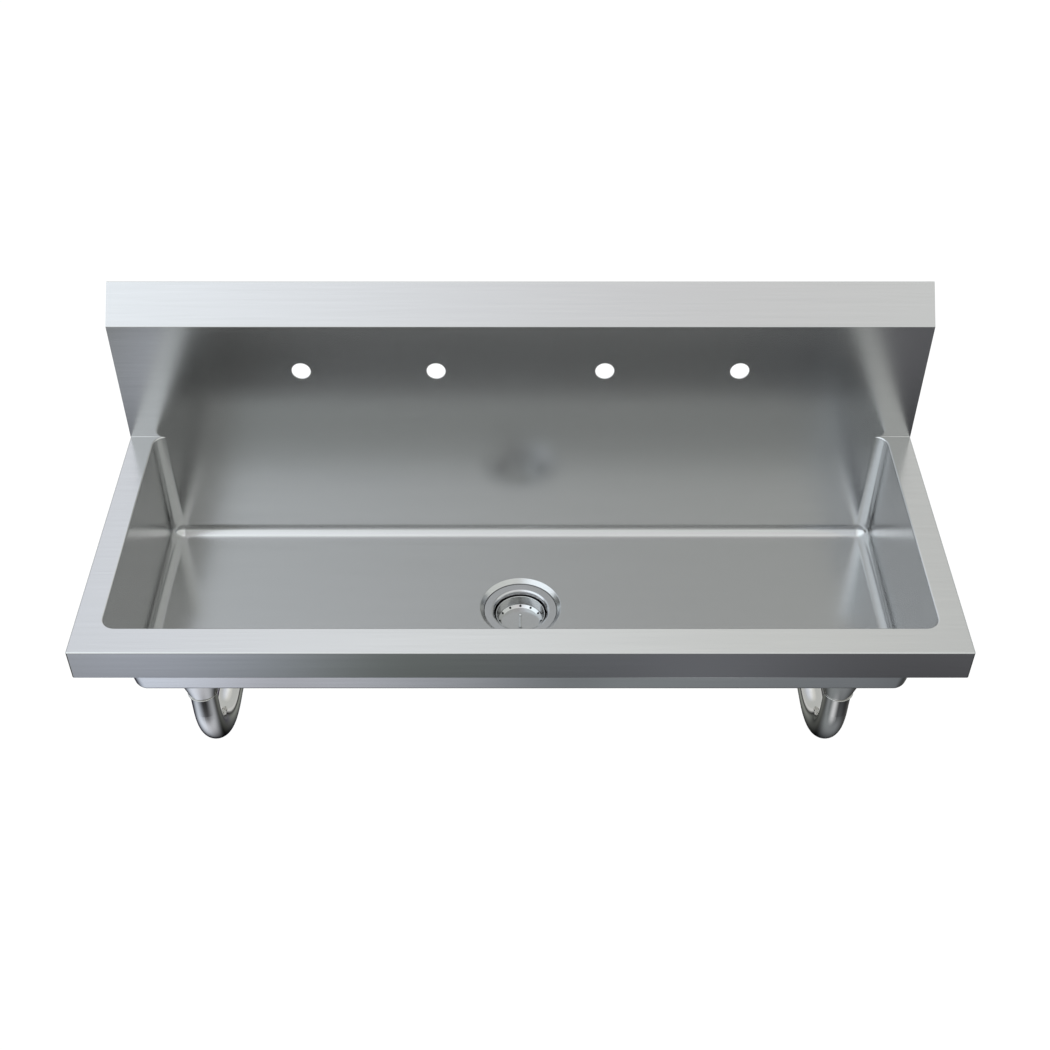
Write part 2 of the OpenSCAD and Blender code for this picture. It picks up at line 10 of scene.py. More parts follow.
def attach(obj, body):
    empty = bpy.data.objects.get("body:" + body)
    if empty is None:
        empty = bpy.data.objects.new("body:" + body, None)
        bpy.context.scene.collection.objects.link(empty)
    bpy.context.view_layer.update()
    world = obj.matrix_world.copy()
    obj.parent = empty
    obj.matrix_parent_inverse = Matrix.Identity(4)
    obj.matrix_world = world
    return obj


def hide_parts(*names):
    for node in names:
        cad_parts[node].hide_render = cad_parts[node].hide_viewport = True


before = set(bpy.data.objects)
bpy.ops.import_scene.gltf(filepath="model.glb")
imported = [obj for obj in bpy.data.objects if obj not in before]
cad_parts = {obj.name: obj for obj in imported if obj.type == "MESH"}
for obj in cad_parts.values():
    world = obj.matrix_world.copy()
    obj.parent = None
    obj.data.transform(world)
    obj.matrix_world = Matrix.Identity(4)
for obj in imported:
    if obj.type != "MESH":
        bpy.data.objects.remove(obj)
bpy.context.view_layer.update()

# ---- sizes of the sheet work, in millimetres ----

MM = 0.001
SHEET = 1.2
END_X = 609.6
FRONT_Y = -508.0
SPLASH_Y = -50.8
RIM_Z = -203.2
FLOOR_Z = -406.4
SIDE_RIM = 38.1
FRONT_RIM = 46.6
COVE = 19.05
LEAN = math.radians(17.96)
LIP = 2.5
BEND = 2.0
APRON = 50.8
HEM = 12.7
EDGE = 2.6           # rounding of the apron's upright corners

# Splash, with the weld between it and the deck, which thins out towards the ears
SPLASH_H = 254.0
FACE_H = 207.0
HANGER = 25.4
FOOT, WELD_THIN, WELD_GROWN = 0.8, 0.3, 22.0
WELD_SUNK = 0.3
WELD_SPOTS = (0, 0.05, 0.1, 0.17, 0.25, 0.34, 0.45, 0.6, 0.8, 1)
EAR_GAP, END_GAP = 1.0, 0.5
FAUCETS = (-330.2, -127.0, 127.0, 330.2)
FAUCET_Z = RIM_Z + 127.0
FAUCET_R, FAUCET_EDGE = 14.3, 0.5

# Drain seat, basket and the shade painted inside the strainer cup
DRAIN_Y = -223.5
SEAT_R, SEAT_EDGE, SEAT_DEPTH, SEAT_WALL, HOLE_R = 57.5, 6.0, 9.5, 3.2, 44.5
SEAT_TOP_BEND, SEAT_BEND = 1.5, 1.0
BASKET_R, BASKET_WALL, BASKET_Z, BASKET_FLOOR_Z = 38.8, 0.8, -421.4, -440.4
ROLL_H, ROLL_STEP_H, ROLL_BEND, STEP_BEND = 1.8, 1.4, 0.7, 0.4
BAND_W, BAND_H, BAND_BEND, BAND_INNER_BEND = 5.4, 3.5, 1.2, 0.5
HOLES, HOLE_RING_R, DRAIN_HOLE_R, DRILL_REACH = 12, 32.8, 1.9, 2.5
POST_R = 1.6
# Painted shade in the strainer cup: its reach, where it starts, where it is full, and its lowest
# point
CUP_INSIDE_R, CUP_BRIGHT_Z, CUP_DARK_Z, CUP_LOW_Z = 41.7, -437.0, -446.0, -459.4

# Gussets
BRACKET_X, LEG_Y, SOCKET_R = 489.0, -343.0, 20.7
GUSSET_Z, GUSSET_H, GUSSET_R, GUSSET_WALL = -410.6, 58.5, 38.0, 1.6
NECK_H, GRIP_H, BEAD = 5.0, 19.0, 1.2
GUSSET_SCREW_Z, SCREW_R, SCREW_REACH = -457.1, 3.0, 12

LIP_Z = RIM_Z - LIP
BOWL_X = END_X - SIDE_RIM
WALL_Y = FRONT_Y + FRONT_RIM
CORE_X = BOWL_X - COVE
CORE_Z = FLOOR_Z + COVE
BACK_Y = SPLASH_Y - COVE
RISE = LIP_Z - CORE_Z
CORE_Y = WALL_Y + COVE / math.cos(LEAN) + RISE * math.tan(LEAN)
UP = Vector((0, 0, 1))

# How finely round forms are divided, in steps
ARC = 14             # a cove's quarter turn
FINE = 8             # a small bend
SEAT_STEPS = 6       # a bend of the drain seat
EDGE_STEPS = 4       # the front edge of a faucet hole
ROUND_STEPS = 5      # a corner of the basket's outline
BEAD_STEPS = 10      # the half turn of a gusset's bead
DRAIN_SIDES, FAUCET_SIDES, BASKET_SIDES, GUSSET_SIDES, DRILL_SIDES = 144, 96, 128, 96, 24
SHARP = math.radians(32)     # an edge that turns further is shown sharp

# Points closer than MERGE are one. They're looked up in cells, CELLS to a millimetre.
MERGE, CELLS = 0.02, 20
TINY = 1e-9          # a face or a normal smaller than this is left out
FILL_GAP = 1e-5      # how exactly a flat outline is filled


def steps(n):
    """Fractions from 0 to 1 in n even steps."""
    return [i / n for i in range(n + 1)]


# ---- sheet builder ----

class Sheet:
    """A closed sheet built from patches. Every corner of a face keeps its own exact normal."""

    def __init__(self):
        self.points, self.cells = [], {}
        self.faces, self.normals = [], []
        self.twin = {}

    def vertex(self, p):
        """The number of a point, which is added unless there is one in its place."""
        cell = tuple(math.floor(c * CELLS) for c in p)
        for step in product((-1, 0, 1), repeat=3):
            for v in self.cells.get(tuple(c + d for c, d in zip(cell, step)), ()):
                if (self.points[v] - p).length < MERGE:
                    return v
        self.points.append(p.copy())
        self.cells.setdefault(cell, []).append(len(self.points) - 1)
        return len(self.points) - 1

    def face(self, ids, normals):
        """Adds a face with a normal at each corner, turned to their side."""
        kept, norms = [], []
        for v, n in zip(ids, normals):
            if v not in kept:
                kept.append(v)
                norms.append(n)
        if len(kept) < 3:
            return
        p = [self.points[v] for v in kept]
        area = sum(((p[i] - p[0]).cross(p[i + 1] - p[0]) for i in range(1, len(p) - 1)), Vector())
        if area.length < TINY:
            return
        if area.dot(sum(norms, Vector())) < 0:
            kept.reverse()
            norms.reverse()
        self.faces.append(kept)
        self.normals.append(norms)

    def pair(self, entry):
        """Front and back vertex of a point, each with its normal. The back may be given."""
        p, n = entry[0], entry[1]
        q = entry[2] if len(entry) > 2 else p - n * SHEET
        m = entry[3] if len(entry) > 3 else -n
        front = self.vertex(p)
        if front not in self.twin:
            self.twin[front] = self.vertex(q)
        return front, n, self.twin[front], m

    def add(self, entries):
        """Adds a face of the front and the one behind it."""
        f = [self.pair(e) for e in entries]
        self.face([e[0] for e in f], [e[1] for e in f])
        self.face([e[2] for e in f], [e[3] for e in f])

    def patch(self, rows):
        """Fills a grid of points."""
        for a, b in zip(rows, rows[1:]):
            for i in range(len(a) - 1):
                self.add([a[i], a[i + 1], b[i + 1], b[i]])

    def plane(self, outline, holes, place, normal):
        """Fills a flat outline, less its holes. place turns (u, v) into a point."""
        coords, edges = [], []
        for loop in [outline] + holes:
            start = len(coords)
            coords += [Vector(p) for p in loop]
            edges += [(start + i, start + (i + 1) % len(loop)) for i in range(len(loop))]
        points, _, triangles, *_ = delaunay_2d_cdt(coords, edges, [], 0, FILL_GAP, False)
        for tri in triangles:
            p = [points[i] for i in tri]
            mid = sum(p, Vector((0, 0))) / 3
            if inside(mid, outline) and not any(inside(mid, h) for h in holes):
                self.add([(place(c.x, c.y), normal) for c in p])

    def close(self):
        """Joins front and back along every free edge of the front."""
        uses = {}
        fronts = set(self.twin)
        for f in self.faces:
            if all(v in fronts for v in f):
                for a, b in zip(f, f[1:] + f[:1]):
                    uses.setdefault((min(a, b), max(a, b)), []).append((a, b))
        for (a, b) in [u[0] for u in uses.values() if len(u) == 1]:
            ids = [b, a, self.twin[a], self.twin[b]]
            p = [self.points[v] for v in ids]
            n = (p[2] - p[0]).cross(p[3] - p[1])
            if n.length > TINY:
                n.normalize()
                self.faces.append(ids)
                self.normals.append([n] * 4)

    def join(self, other):
        """Takes in the faces of another sheet."""
        base = len(self.points)
        self.points += other.points
        self.faces += [[v + base for v in f] for f in other.faces]
        self.normals += other.normals

    def mesh(self, name):
        data = bpy.data.meshes.new(name)
        data.from_pydata([p * MM for p in self.points], [], self.faces)
        data.polygons.foreach_set("use_smooth", [True] * len(data.polygons))
        data.normals_split_custom_set([n for f in self.normals for n in f])
        data.update()
        obj = bpy.data.objects.new(name, data)
        bpy.context.scene.collection.objects.link(obj)
        return obj


def inside(p, loop):
    """Whether a point lies in a closed outline."""
    odd = False
    for (x1, y1), (x2, y2) in zip(loop, loop[1:] + loop[:1]):
        if (y1 > p.y) != (y2 > p.y) and p.x < x1 + (p.y - y1) * (x2 - x1) / (y2 - y1):
            odd = not odd
    return odd


def mirrored(rows):
    """The same patch on the other side of the middle."""
    def flip(v):
        return Vector((-v.x, v.y, v.z))
    return [[tuple(flip(v) for v in entry) for entry in row] for row in rows]


# ---- curves that the pieces share ----

def lean_out(phi):
    """Direction from the axis of the leaning corner bend to the sheet."""
    return Vector((math.cos(phi), -math.sin(phi) * math.cos(LEAN), -math.sin(phi) * math.sin(LEAN)))


def lip_centre(phi):
    """Centre of the rolled edge above the leaning bend."""
    r = COVE + LIP
    return Vector((CORE_X + r * math.cos(phi),
                   CORE_Y - RISE * math.tan(LEAN) - r * math.sin(phi) / math.cos(LEAN), LIP_Z))


def front_lip(phi, t):
    """Point and normal on the rolled edge at the front, t from the wall (0) to the deck (1)."""
    n = -lean_out(phi)
    tilt = math.asin(n.z)
    flat = Vector((n.x, n.y, 0)).normalized()
    psi = tilt + t * (math.pi / 2 - tilt)
    normal = flat * math.cos(psi) + UP * math.sin(psi)
    return lip_centre(phi) + normal * LIP, normal


def back_lip(u, t):
    """The same at a back corner, u from the side (0) to the splash (1)."""
    psi = t * math.pi / 2
    r = COVE + LIP * (1 - math.cos(psi))
    phi = u * math.asin(COVE / r)
    flat = Vector((math.cos(phi), math.sin(phi), 0))
    normal = UP * math.sin(psi) - flat * math.cos(psi)
    return Vector((CORE_X, BACK_Y, LIP_Z + LIP * math.sin(psi))) + flat * r, normal


SIDE_FRONT_Y = lip_centre(0).y
EAR_X = back_lip(1, 1)[0].x


def bowl():
    """The coved bowl, with the seat pressed round its drain."""
    s = Sheet()
    quarter = [t * math.pi / 2 for t in steps(ARC)]
    centre = Vector((CORE_X, BACK_Y, CORE_Z))
    front = Vector((CORE_X, CORE_Y, CORE_Z))

    def cove(p, out):
        return p + out * COVE, -out

    def ball(c, other, t, f):
        """Great circle from the floor's pole towards the direction at fraction f."""
        goal = other(f)
        pole = Vector((0, 0, -1))
        angle = pole.angle(goal)
        sideways = (goal - pole * pole.dot(goal)).normalized()
        return cove(c, pole * math.cos(angle * t) + sideways * math.sin(angle * t))

    def back_way(f):
        return Vector((math.cos(f * math.pi / 2), math.sin(f * math.pi / 2), 0))

    def front_way(f):
        return lean_out(f * math.pi / 2)

    for turn in (lambda rows: rows, mirrored):
        # Spherical corners
        s.patch(turn([[ball(centre, back_way, t, f) for f in steps(ARC)] for t in steps(ARC)]))
        s.patch(turn([[ball(front, front_way, t, f) for f in steps(ARC)] for t in steps(ARC)]))
        # Coves along the ends
        s.patch(turn([[cove(Vector((CORE_X, y, CORE_Z)), Vector((math.sin(a), 0, -math.cos(a))))
                       for y in (CORE_Y, BACK_Y)] for a in quarter]))
        # Upright bends at the back
        s.patch(turn([[cove(Vector((CORE_X, BACK_Y, z)), back_way(f)) for f in steps(ARC)]
                      for z in (CORE_Z, LIP_Z)]))
        # Leaning bends at the front
        s.patch(turn([[cove(front, front_way(f)) for f in steps(ARC)],
                      [front_lip(f * math.pi / 2, 0) for f in steps(ARC)]]))
        # End walls
        s.patch(turn([[(Vector((BOWL_X, y, z)), Vector((-1, 0, 0))) for y in (front_y, BACK_Y)]
                      for front_y, z in ((CORE_Y, CORE_Z), (SIDE_FRONT_Y, LIP_Z))]))

    def across(point, out):
        return [cove(Vector((x, point[0], point[1])), out) for x in (-CORE_X, CORE_X)]

    s.patch([across((BACK_Y, CORE_Z), Vector((0, math.sin(a), -math.cos(a)))) for a in quarter])
    span = math.pi / 2 - LEAN
    s.patch([across((CORE_Y, CORE_Z), Vector((0, -math.sin(t * span), -math.cos(t * span))))
             for t in steps(ARC)])
    top, n = front_lip(math.pi / 2, 0)
    s.patch([across((CORE_Y, CORE_Z), lean_out(math.pi / 2)),
             [(Vector((x, top.y, top.z)), n) for x in (-CORE_X, CORE_X)]])

    # Back wall with the two ears under the splash
    ear = [back_lip(1, t)[0] for t in steps(FINE)]
    right = [(p.x, p.z) for p in ear]
    outline = [(-CORE_X, CORE_Z), (CORE_X, CORE_Z)] + right + [(-x, z) for x, z in right[::-1]]
    s.plane(outline, [], lambda u, v: Vector((u, SPLASH_Y, v)), Vector((0, -1, 0)))

    # Floor, with the seat pressed round the drain
    slope = math.atan2(SEAT_DEPTH - SEAT_WALL, SEAT_EDGE)
    profile = []
    for r, corner, start, end in (
            (SEAT_TOP_BEND, (SEAT_R + SEAT_EDGE, FLOOR_Z), 0, slope),
            (SEAT_BEND, (SEAT_R, FLOOR_Z - SEAT_DEPTH + SEAT_WALL), slope, math.pi / 2),
            (SEAT_BEND, (SEAT_R, FLOOR_Z - SEAT_DEPTH), math.pi / 2, 0)):
        reach = r * math.tan(abs(end - start) / 2)
        down = 1 if end > start else -1
        first = Vector(corner) + reach * Vector((math.cos(start), math.sin(start)))
        middle = first - down * r * Vector((-math.sin(start), math.cos(start)))
        for t in steps(SEAT_STEPS):
            a = start + t * (end - start)
            n2 = Vector((-math.sin(a), math.cos(a)))
            profile.append((middle + down * r * n2, n2))
    profile.append((Vector((HOLE_R, FLOOR_Z - SEAT_DEPTH)), Vector((0, 1))))
    ring = [t * 2 * math.pi for t in steps(DRAIN_SIDES)]

    def round_drain(p, n2, a):
        flat = Vector((math.cos(a), math.sin(a), 0))
        return (Vector((0, DRAIN_Y, 0)) + flat * p.x + UP * p.y, flat * n2.x + UP * n2.y)

    s.patch([[round_drain(p, n2, a) for a in ring] for p, n2 in profile])
    rim_r = profile[0][0].x
    s.plane([(-CORE_X, CORE_Y), (CORE_X, CORE_Y), (CORE_X, BACK_Y), (-CORE_X, BACK_Y)],
            [[(rim_r * math.cos(a), DRAIN_Y + rim_r * math.sin(a)) for a in ring[:-1]]],
            lambda u, v: Vector((u, v, FLOOR_Z)), UP)
    s.close()
    return s.mesh("bowl_skin")


def apron_sections():
    """Profile of the folded edge: inward offset, height and normal (outward, up)."""
    rows = []
    for t in steps(FINE):
        a = t * math.pi / 2
        rows.append((BEND * (1 - math.sin(a)), -BEND * (1 - math.cos(a)), math.sin(a), math.cos(a)))
    for t in steps(FINE):
        a = math.pi / 2 + t * math.pi / 2
        rows.append((BEND * (1 - math.sin(a)), -APRON + BEND * (1 + math.cos(a)),
                     math.sin(a), math.cos(a)))
    return rows


def apron_path():
    """Way round the outside from the right end of the splash to the left one."""
    right = [(Vector((END_X, SPLASH_Y, 0)), Vector((1, 0, 0)))]
    for t in steps(FINE):
        n = Vector((math.cos(t * math.pi / 2), -math.sin(t * math.pi / 2), 0))
        right.append((Vector((END_X - EDGE, FRONT_Y + EDGE, 0)) + n * EDGE, n))
    left = [(Vector((-p.x, p.y, 0)), Vector((-n.x, n.y, 0))) for p, n in right[::-1]]
    return right + left


def rim_deck():
    """The flat rim, with its folded apron and the rolled edge of the bowl's mouth."""
    s = Sheet()
    path = apron_path()
    rows = []
    for u, v, out, up in apron_sections():
        rows.append([(p - n * u + UP * (RIM_Z + v), n * out + UP * up) for p, n in path])
    s.patch(rows)
    outer = [(e[0].x, e[0].y) for e in rows[0]]
    hem_line = [(e[0].x, e[0].y) for e in rows[-1]]
    hem_line += [(HEM - END_X, SPLASH_Y), (HEM - END_X, FRONT_Y + HEM),
                 (END_X - HEM, FRONT_Y + HEM), (END_X - HEM, SPLASH_Y)]
    s.plane(hem_line, [], lambda u, v: Vector((u, v, RIM_Z - APRON)), -UP)

    # Rolled edge round the mouth of the bowl
    lip_rows = []
    for t in steps(FINE):
        right = [back_lip(u, t) for u in steps(ARC)[::-1]]
        right += [front_lip(f * math.pi / 2, t) for f in steps(ARC)]
        lip_rows.append(right + mirrored([right[::-1]])[0])
    s.patch(lip_rows)
    inner = [(e[0].x, e[0].y) for e in lip_rows[-1]]
    s.plane(outer + inner[::-1], [], lambda u, v: Vector((u, v, RIM_Z)), UP)
    s.close()
    return s.mesh("rim_skin")


def fillet(side):
    """Small weld fillet between deck and splash, which runs out at the ear."""
    s = Sheet()
    rows = []
    first, last = EAR_X + EAR_GAP, END_X - END_GAP
    for spot in WELD_SPOTS:
        x = first + (last - first) * spot
        k = min(1.0, (x - EAR_X) / WELD_GROWN)
        f = WELD_THIN + (FOOT - WELD_THIN) * k * k * (3 - 2 * k)
        ring = []
        for t in steps(FINE):
            a = t * math.pi / 2
            n = Vector((0, -math.cos(a), math.sin(a)))
            p = Vector((x, SPLASH_Y - f, RIM_Z + f)) - n * f
            q = Vector((x, SPLASH_Y + WELD_SUNK, RIM_Z - WELD_SUNK))
            ring.append((p, n, q, -n))
        rows.append(ring)
    s.patch(rows if side > 0 else mirrored(rows))
    return s


def splash():
    """The splash, with its sloping top, the fold behind it and the faucet holes."""
    s = Sheet()
    fold = Vector((SPLASH_Y + BEND, RIM_Z + FACE_H))
    top = Vector((-BEND, RIM_Z + SPLASH_H - BEND))
    slope = math.atan2(top.y - fold.y, top.x - fold.x)
    profile = []
    for centre, start, end in ((fold, math.pi, math.pi / 2 + slope), (top, math.pi / 2 + slope, 0)):
        for t in steps(FINE):
            a = start + t * (end - start)
            n2 = Vector((math.cos(a), math.sin(a)))
            profile.append((centre + n2 * BEND, n2))
    profile.append((Vector((0, top.y - HANGER)), Vector((1, 0))))
    s.patch([[(Vector((x, p.x, p.y)), Vector((0, n.x, n.y))) for x in (-END_X, END_X)]
             for p, n in profile])

    # Face with the faucet holes, whose front edges are slightly rounded
    ring = [t * 2 * math.pi for t in steps(FAUCET_SIDES)]
    holes = []
    for x in FAUCETS:
        rows = []
        for t in steps(EDGE_STEPS):
            a = t * math.pi / 2
            r = FAUCET_R + FAUCET_EDGE * (1 - math.sin(a))
            depth = FAUCET_EDGE * (1 - math.cos(a))
            row = []
            for b in ring:
                flat = Vector((math.cos(b), 0, math.sin(b)))
                mid = Vector((x, 0, FAUCET_Z))
                row.append((mid + flat * r + Vector((0, SPLASH_Y + depth, 0)),
                            Vector((0, -math.cos(a), 0)) - flat * math.sin(a),
                            mid + flat * r + Vector((0, SPLASH_Y + SHEET, 0)), Vector((0, 1, 0))))
            rows.append(row)
        s.patch(rows)
        holes.append([(e[0].x, e[0].z) for e in rows[0][:-1]])
    low = RIM_Z - APRON
    tab = BOWL_X + SHEET
    outline = [(-END_X, low), (-tab, low), (-tab, RIM_Z), (tab, RIM_Z), (tab, low), (END_X, low),
               (END_X, fold.y), (-END_X, fold.y)]
    s.plane(outline, holes, lambda u, v: Vector((u, SPLASH_Y, v)), Vector((0, -1, 0)))
    s.close()
    for side in (1, -1):
        s.join(fillet(side))
    return s.mesh("splash_skin")


def rounded(corners):
    """A closed outline whose corners, each a point and a radius, are rounded by arcs."""
    outline = []
    count = len(corners)
    for i, ((x, y), r) in enumerate(corners):
        p = Vector((x, y))
        if not r:
            outline.append(p)
            continue
        a = (Vector(corners[i - 1][0]) - p).normalized()
        b = (Vector(corners[(i + 1) % count][0]) - p).normalized()
        half = a.angle(b) / 2
        mid = p + (a + b).normalized() * (r / math.sin(half))
        start, end = p + a * (r / math.tan(half)) - mid, p + b * (r / math.tan(half)) - mid
        turn = start.angle_signed(end)
        for t in steps(ROUND_STEPS):
            c, d = math.cos(-turn * t), math.sin(-turn * t)
            outline.append(mid + Vector((start.x * c - start.y * d, start.x * d + start.y * c)))
    return outline


def revolved(name, outline, centre, sides):
    """Turns a closed outline of (radius, height) round an upright axis at a centre (x, y)."""
    verts, faces, rings = [], [], []
    for r, z in outline:
        rings.append(list(range(len(verts), len(verts) + sides)))
        for i in range(sides):
            a = i * 2 * math.pi / sides
            verts.append((centre[0] + r * math.cos(a), centre[1] + r * math.sin(a), z))
    for low, high in zip(rings, rings[1:] + rings[:1]):
        for i in range(sides):
            j = (i + 1) % sides
            faces.append((low[i], low[j], high[j], high[i]))
    return piece_from(name, verts, faces)


def piece_from(name, verts, faces):
    """A mesh object from points in millimetres, with its faces turned outward."""
    data = bpy.data.meshes.new(name)
    data.from_pydata([Vector(v) * MM for v in verts], [], faces)
    work = bmesh.new()
    work.from_mesh(data)
    bmesh.ops.recalc_face_normals(work, faces=work.faces)
    work.to_mesh(data)
    work.free()
    obj = bpy.data.objects.new(name, data)
    bpy.context.scene.collection.objects.link(obj)
    return obj


def bored(body, holes):
    """Drills holes, each given by its middle, its axis, its radius and its reach each way."""
    sides = DRILL_SIDES
    verts, faces = [], []
    for middle, axis, radius, reach in holes:
        base = len(verts)
        u = axis.orthogonal().normalized()
        v = axis.cross(u)
        for end in (-reach, reach):
            for k in range(sides):
                a = k * 2 * math.pi / sides
                verts.append(middle + axis * end + (u * math.cos(a) + v * math.sin(a)) * radius)
        faces.append(list(range(base, base + sides)))
        faces.append(list(range(base + sides, base + 2 * sides)))
        for k in range(sides):
            j = (k + 1) % sides
            faces.append([base + k, base + j, base + sides + j, base + sides + k])
    drill = piece_from("drill", verts, faces)
    cut = body.modifiers.new("holes", "BOOLEAN")
    cut.operation = "DIFFERENCE"
    cut.solver = "EXACT"
    cut.object = drill
    whole = body.evaluated_get(bpy.context.evaluated_depsgraph_get())
    finished = bpy.data.meshes.new_from_object(whole)
    body.modifiers.clear()
    body.data = finished
    bpy.data.objects.remove(drill)
    finished.polygons.foreach_set("use_smooth", [True] * len(finished.polygons))
    finished.set_sharp_from_angle(angle=SHARP)
    return body


def basket():
    """The basket, with a sloping band of drain holes and a hole for the post."""
    low, top = BASKET_FLOOR_Z, BASKET_Z
    flat_r, side_r = HOLE_RING_R - BAND_W / 2, HOLE_RING_R + BAND_W / 2
    w = BASKET_WALL
    inner_r = BASKET_R - 2 * w
    outline = rounded([
        # Outside, from the post's hole up to the rolled rim
        ((POST_R, low), 0), ((flat_r, low), BAND_BEND), ((side_r, low + BAND_H), BAND_BEND),
        ((BASKET_R - w, top - ROLL_H), STEP_BEND), ((BASKET_R, top - ROLL_STEP_H), STEP_BEND),
        ((BASKET_R, top), ROLL_BEND),
        # Inside, back down to the hole
        ((inner_r, top), ROLL_BEND), ((inner_r, top - ROLL_H), 0),
        ((side_r - w, low + BAND_H + w / 2), BAND_INNER_BEND),
        ((flat_r - w / 3, low + w), BAND_INNER_BEND), ((POST_R, low + w), 0)])
    body = revolved("basket_bowl", outline, (0, DRAIN_Y), BASKET_SIDES)
    tilt = math.atan2(BAND_H, BAND_W)
    holes = []
    for i in range(HOLES):
        a = math.pi / 2 + i * 2 * math.pi / HOLES
        flat = Vector((math.cos(a), math.sin(a), 0))
        middle = Vector((0, DRAIN_Y, low + (BAND_H + w) / 2)) + flat * HOLE_RING_R
        axis = UP * math.cos(tilt) - flat * math.sin(tilt)
        holes.append((middle, axis, DRAIN_HOLE_R, DRILL_REACH))
    return bored(body, holes)


def gusset(side):
    """The conical gusset, with a round bead at its lower end and a hole for its set screw."""
    low = GUSSET_Z - GUSSET_H
    neck = SOCKET_R + GUSSET_WALL
    outline = [(GUSSET_R - GUSSET_WALL, GUSSET_Z), (GUSSET_R, GUSSET_Z), (neck, low + NECK_H)]
    outline += [(neck + BEAD * math.sin(t * math.pi), low + BEAD + BEAD * math.cos(t * math.pi))
                for t in steps(BEAD_STEPS)]
    outline += [(SOCKET_R, low), (SOCKET_R, low + GRIP_H)]
    name = "gusset_cone_" + ("right" if side > 0 else "left")
    body = revolved(name, outline, (side * BRACKET_X, LEG_Y), GUSSET_SIDES)
    screw = Vector((side * BRACKET_X, LEG_Y + neck, GUSSET_SCREW_Z))
    return bored(body, [(screw, Vector((0, 1, 0)), SCREW_R, SCREW_REACH)])


# ---- materials ----

# Noise stays mostly between these two. Ramps and ranges run from one to the other.
NOISE_LOW, NOISE_HIGH = 0.3, 0.7
EVEN, GRAIN, BROAD_GRAIN, RINGS = (1, 1, 1), (9, 1500, 1), (3, 140, 1), (30, 30, 2600)
GRAIN_SHARE, BROAD_SHARE = 0.6, 0.4
SMEARS = 14.0
PATCHES = 8          # a matte surface's patches are this many times its grain
METAL_SWING, SMEAR_SWING, MATTE_SWING = 0.03, 0.04, 0.07     # how far the roughness strays
METAL_BUMP, MATTE_BUMP, METAL_DEPTH = 0.03, 0.4, 0.0001
LOOKS_ALONG_X = 0.7  # the least part of a normal along X on a face that looks that way
# Colour of the shade painted into the strainer cup
CUP_SHADE = (0.03, 0.03, 0.03, 1)
MIX_A, MIX_B, MIXED = 6, 7, 2        # colour sockets of a Mix node


def new_material(name):
    """A material, its nodes and links, and its shader."""
    mat = bpy.data.materials.new(name)
    mat.use_nodes = True
    nodes = mat.node_tree.nodes
    return mat, nodes, mat.node_tree.links, nodes["Principled BSDF"]


def feed(links, value, socket):
    """Sets a socket to a value, or links it if the value is a socket as well."""
    if hasattr(value, "links"):
        links.new(value, socket)
    else:
        socket.default_value = value


def noise(nodes, links, source, stretch, detail, scale=1.0):
    """Noise at the places that the source gives, squeezed along each axis by stretch."""
    mapping = nodes.new("ShaderNodeMapping")
    mapping.inputs["Scale"].default_value = stretch
    links.new(source, mapping.inputs["Vector"])
    tex = nodes.new("ShaderNodeTexNoise")
    tex.inputs["Scale"].default_value = scale
    tex.inputs["Detail"].default_value = detail
    links.new(mapping.outputs["Vector"], tex.inputs["Vector"])
    return tex.outputs["Fac"]


def spread(nodes, links, source, low, high):
    """A number that follows the noise from low to high."""
    range_node = nodes.new("ShaderNodeMapRange")
    range_node.inputs["From Min"].default_value = NOISE_LOW
    range_node.inputs["From Max"].default_value = NOISE_HIGH
    range_node.inputs["To Min"].default_value = low
    range_node.inputs["To Max"].default_value = high
    links.new(source, range_node.inputs["Value"])
    return range_node.outputs["Result"]


def tint(nodes, links, source, dark, light):
    """A colour that follows the noise from dark to light."""
    ramp = nodes.new("ShaderNodeValToRGB")
    for element, position, colour in zip(ramp.color_ramp.elements, (NOISE_LOW, NOISE_HIGH),
                                         (dark, light)):
        element.position = position
        element.color = (*colour, 1)
    links.new(source, ramp.inputs["Fac"])
    return ramp.outputs["Color"]


def maths(nodes, links, kind, a, b):
    """The result of an operation on two sockets or values."""
    node = nodes.new("ShaderNodeMath")
    node.operation = kind
    feed(links, a, node.inputs[0])
    feed(links, b, node.inputs[1])
    return node.outputs[0]


def bumpy(nodes, links, shader, height, strength, depth):
    """Roughens the look of a surface without moving it."""
    bump = nodes.new("ShaderNodeBump")
    bump.inputs["Strength"].default_value = strength
    bump.inputs["Distance"].default_value = depth
    links.new(height, bump.inputs["Height"])
    links.new(bump.outputs[0], shader.inputs["Normal"])


